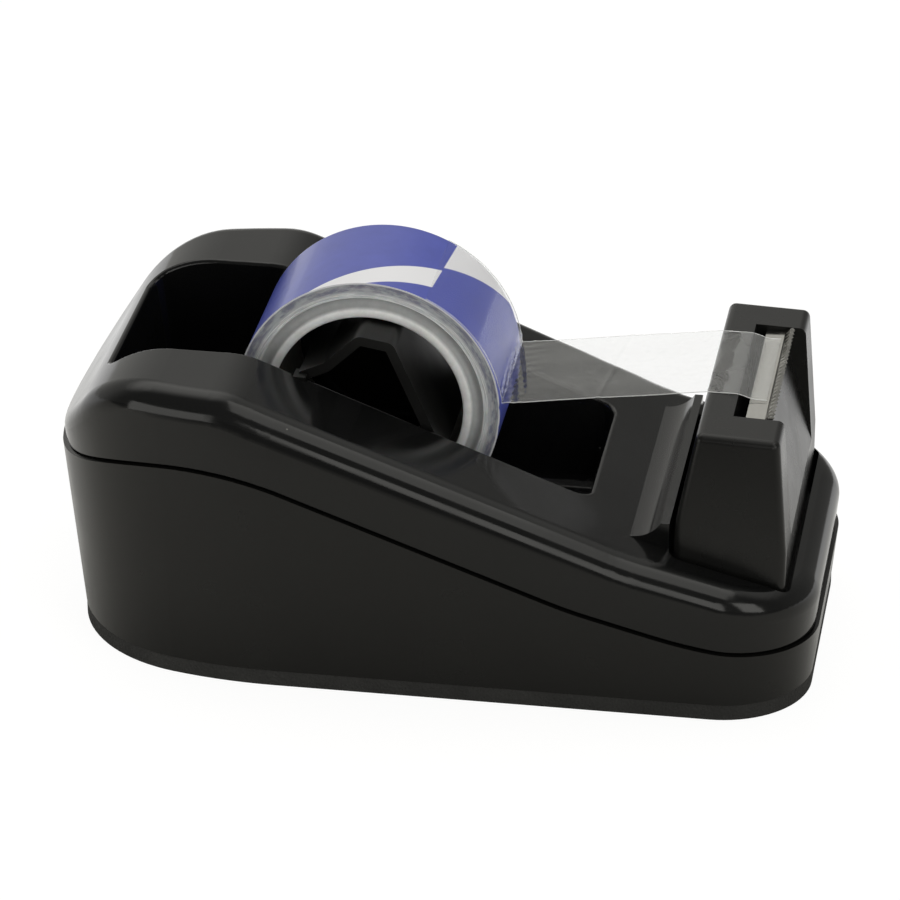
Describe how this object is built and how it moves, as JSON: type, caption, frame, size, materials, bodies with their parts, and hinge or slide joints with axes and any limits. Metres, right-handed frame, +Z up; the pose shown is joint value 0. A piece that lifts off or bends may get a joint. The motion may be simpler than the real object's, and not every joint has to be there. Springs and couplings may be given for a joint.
{
  "type": "tape dispenser",
  "caption": "Weighted black desktop tape dispenser: sloping two-shell housing, tape roll on a lift-out saddle, clear strip drawn to a toothed cutter tower.",
  "frame": {"origin": "middle of the bounding box in plan, on the surface that the dispenser stands on (underside of the foam pad)", "axes": "+X along the length towards the cutter, +Y across the width, +Z up"},
  "size_m": [0.1036, 0.0582, 0.0512],
  "materials": {
    "cover_plastic": "black injection-moulded plastic, semi-gloss",
    "base_plastic": "black injection-moulded plastic, satin",
    "pad_foam": "black closed-cell foam sheet, matte",
    "cast_weight": "plain cast iron, unpainted",
    "tower_plastic": "black injection-moulded plastic, satin",
    "blade_steel": "bright stainless strip with stamped teeth",
    "saddle_plastic": "black injection-moulded plastic, satin",
    "core_plastic": "pale grey moulded plastic",
    "wound_film": "edge of many turns of clear film, pale and slightly milky",
    "printed_film": "film printed with plain blue and white blocks",
    "clear_film": "clear adhesive film, glossy",
    "screw_steel": "zinc-plated steel"
  },
  "bodies": {
    "housing": {"top_cover": "cover_plastic", "lower_shell": "base_plastic", "non_slip_pad": "pad_foam", "ballast_weight": "cast_weight", "cutter_tower": "tower_plastic", "cutter_blade": "blade_steel", "housing_screws": "screw_steel", "tower_screws": "screw_steel"},
    "saddle": {"roll_saddle": "saddle_plastic", "tape_strip": "clear_film"},
    "roll": {"tape_core": "core_plastic", "tape_winding": "wound_film", "label_sleeve": "printed_film"}
  },
  "joints": [
    {"name": "saddle_lift", "type": "slide", "parent": "housing", "child": "saddle", "axis": [0, 0, 1], "range_m": [0, 0.045]},
    {"name": "roll_spin", "type": "hinge", "parent": "saddle", "child": "roll", "pos_m": [-0.0095, 0.00155, 0.0335], "axis": [0, 1, 0], "continuous": true}
  ]
}
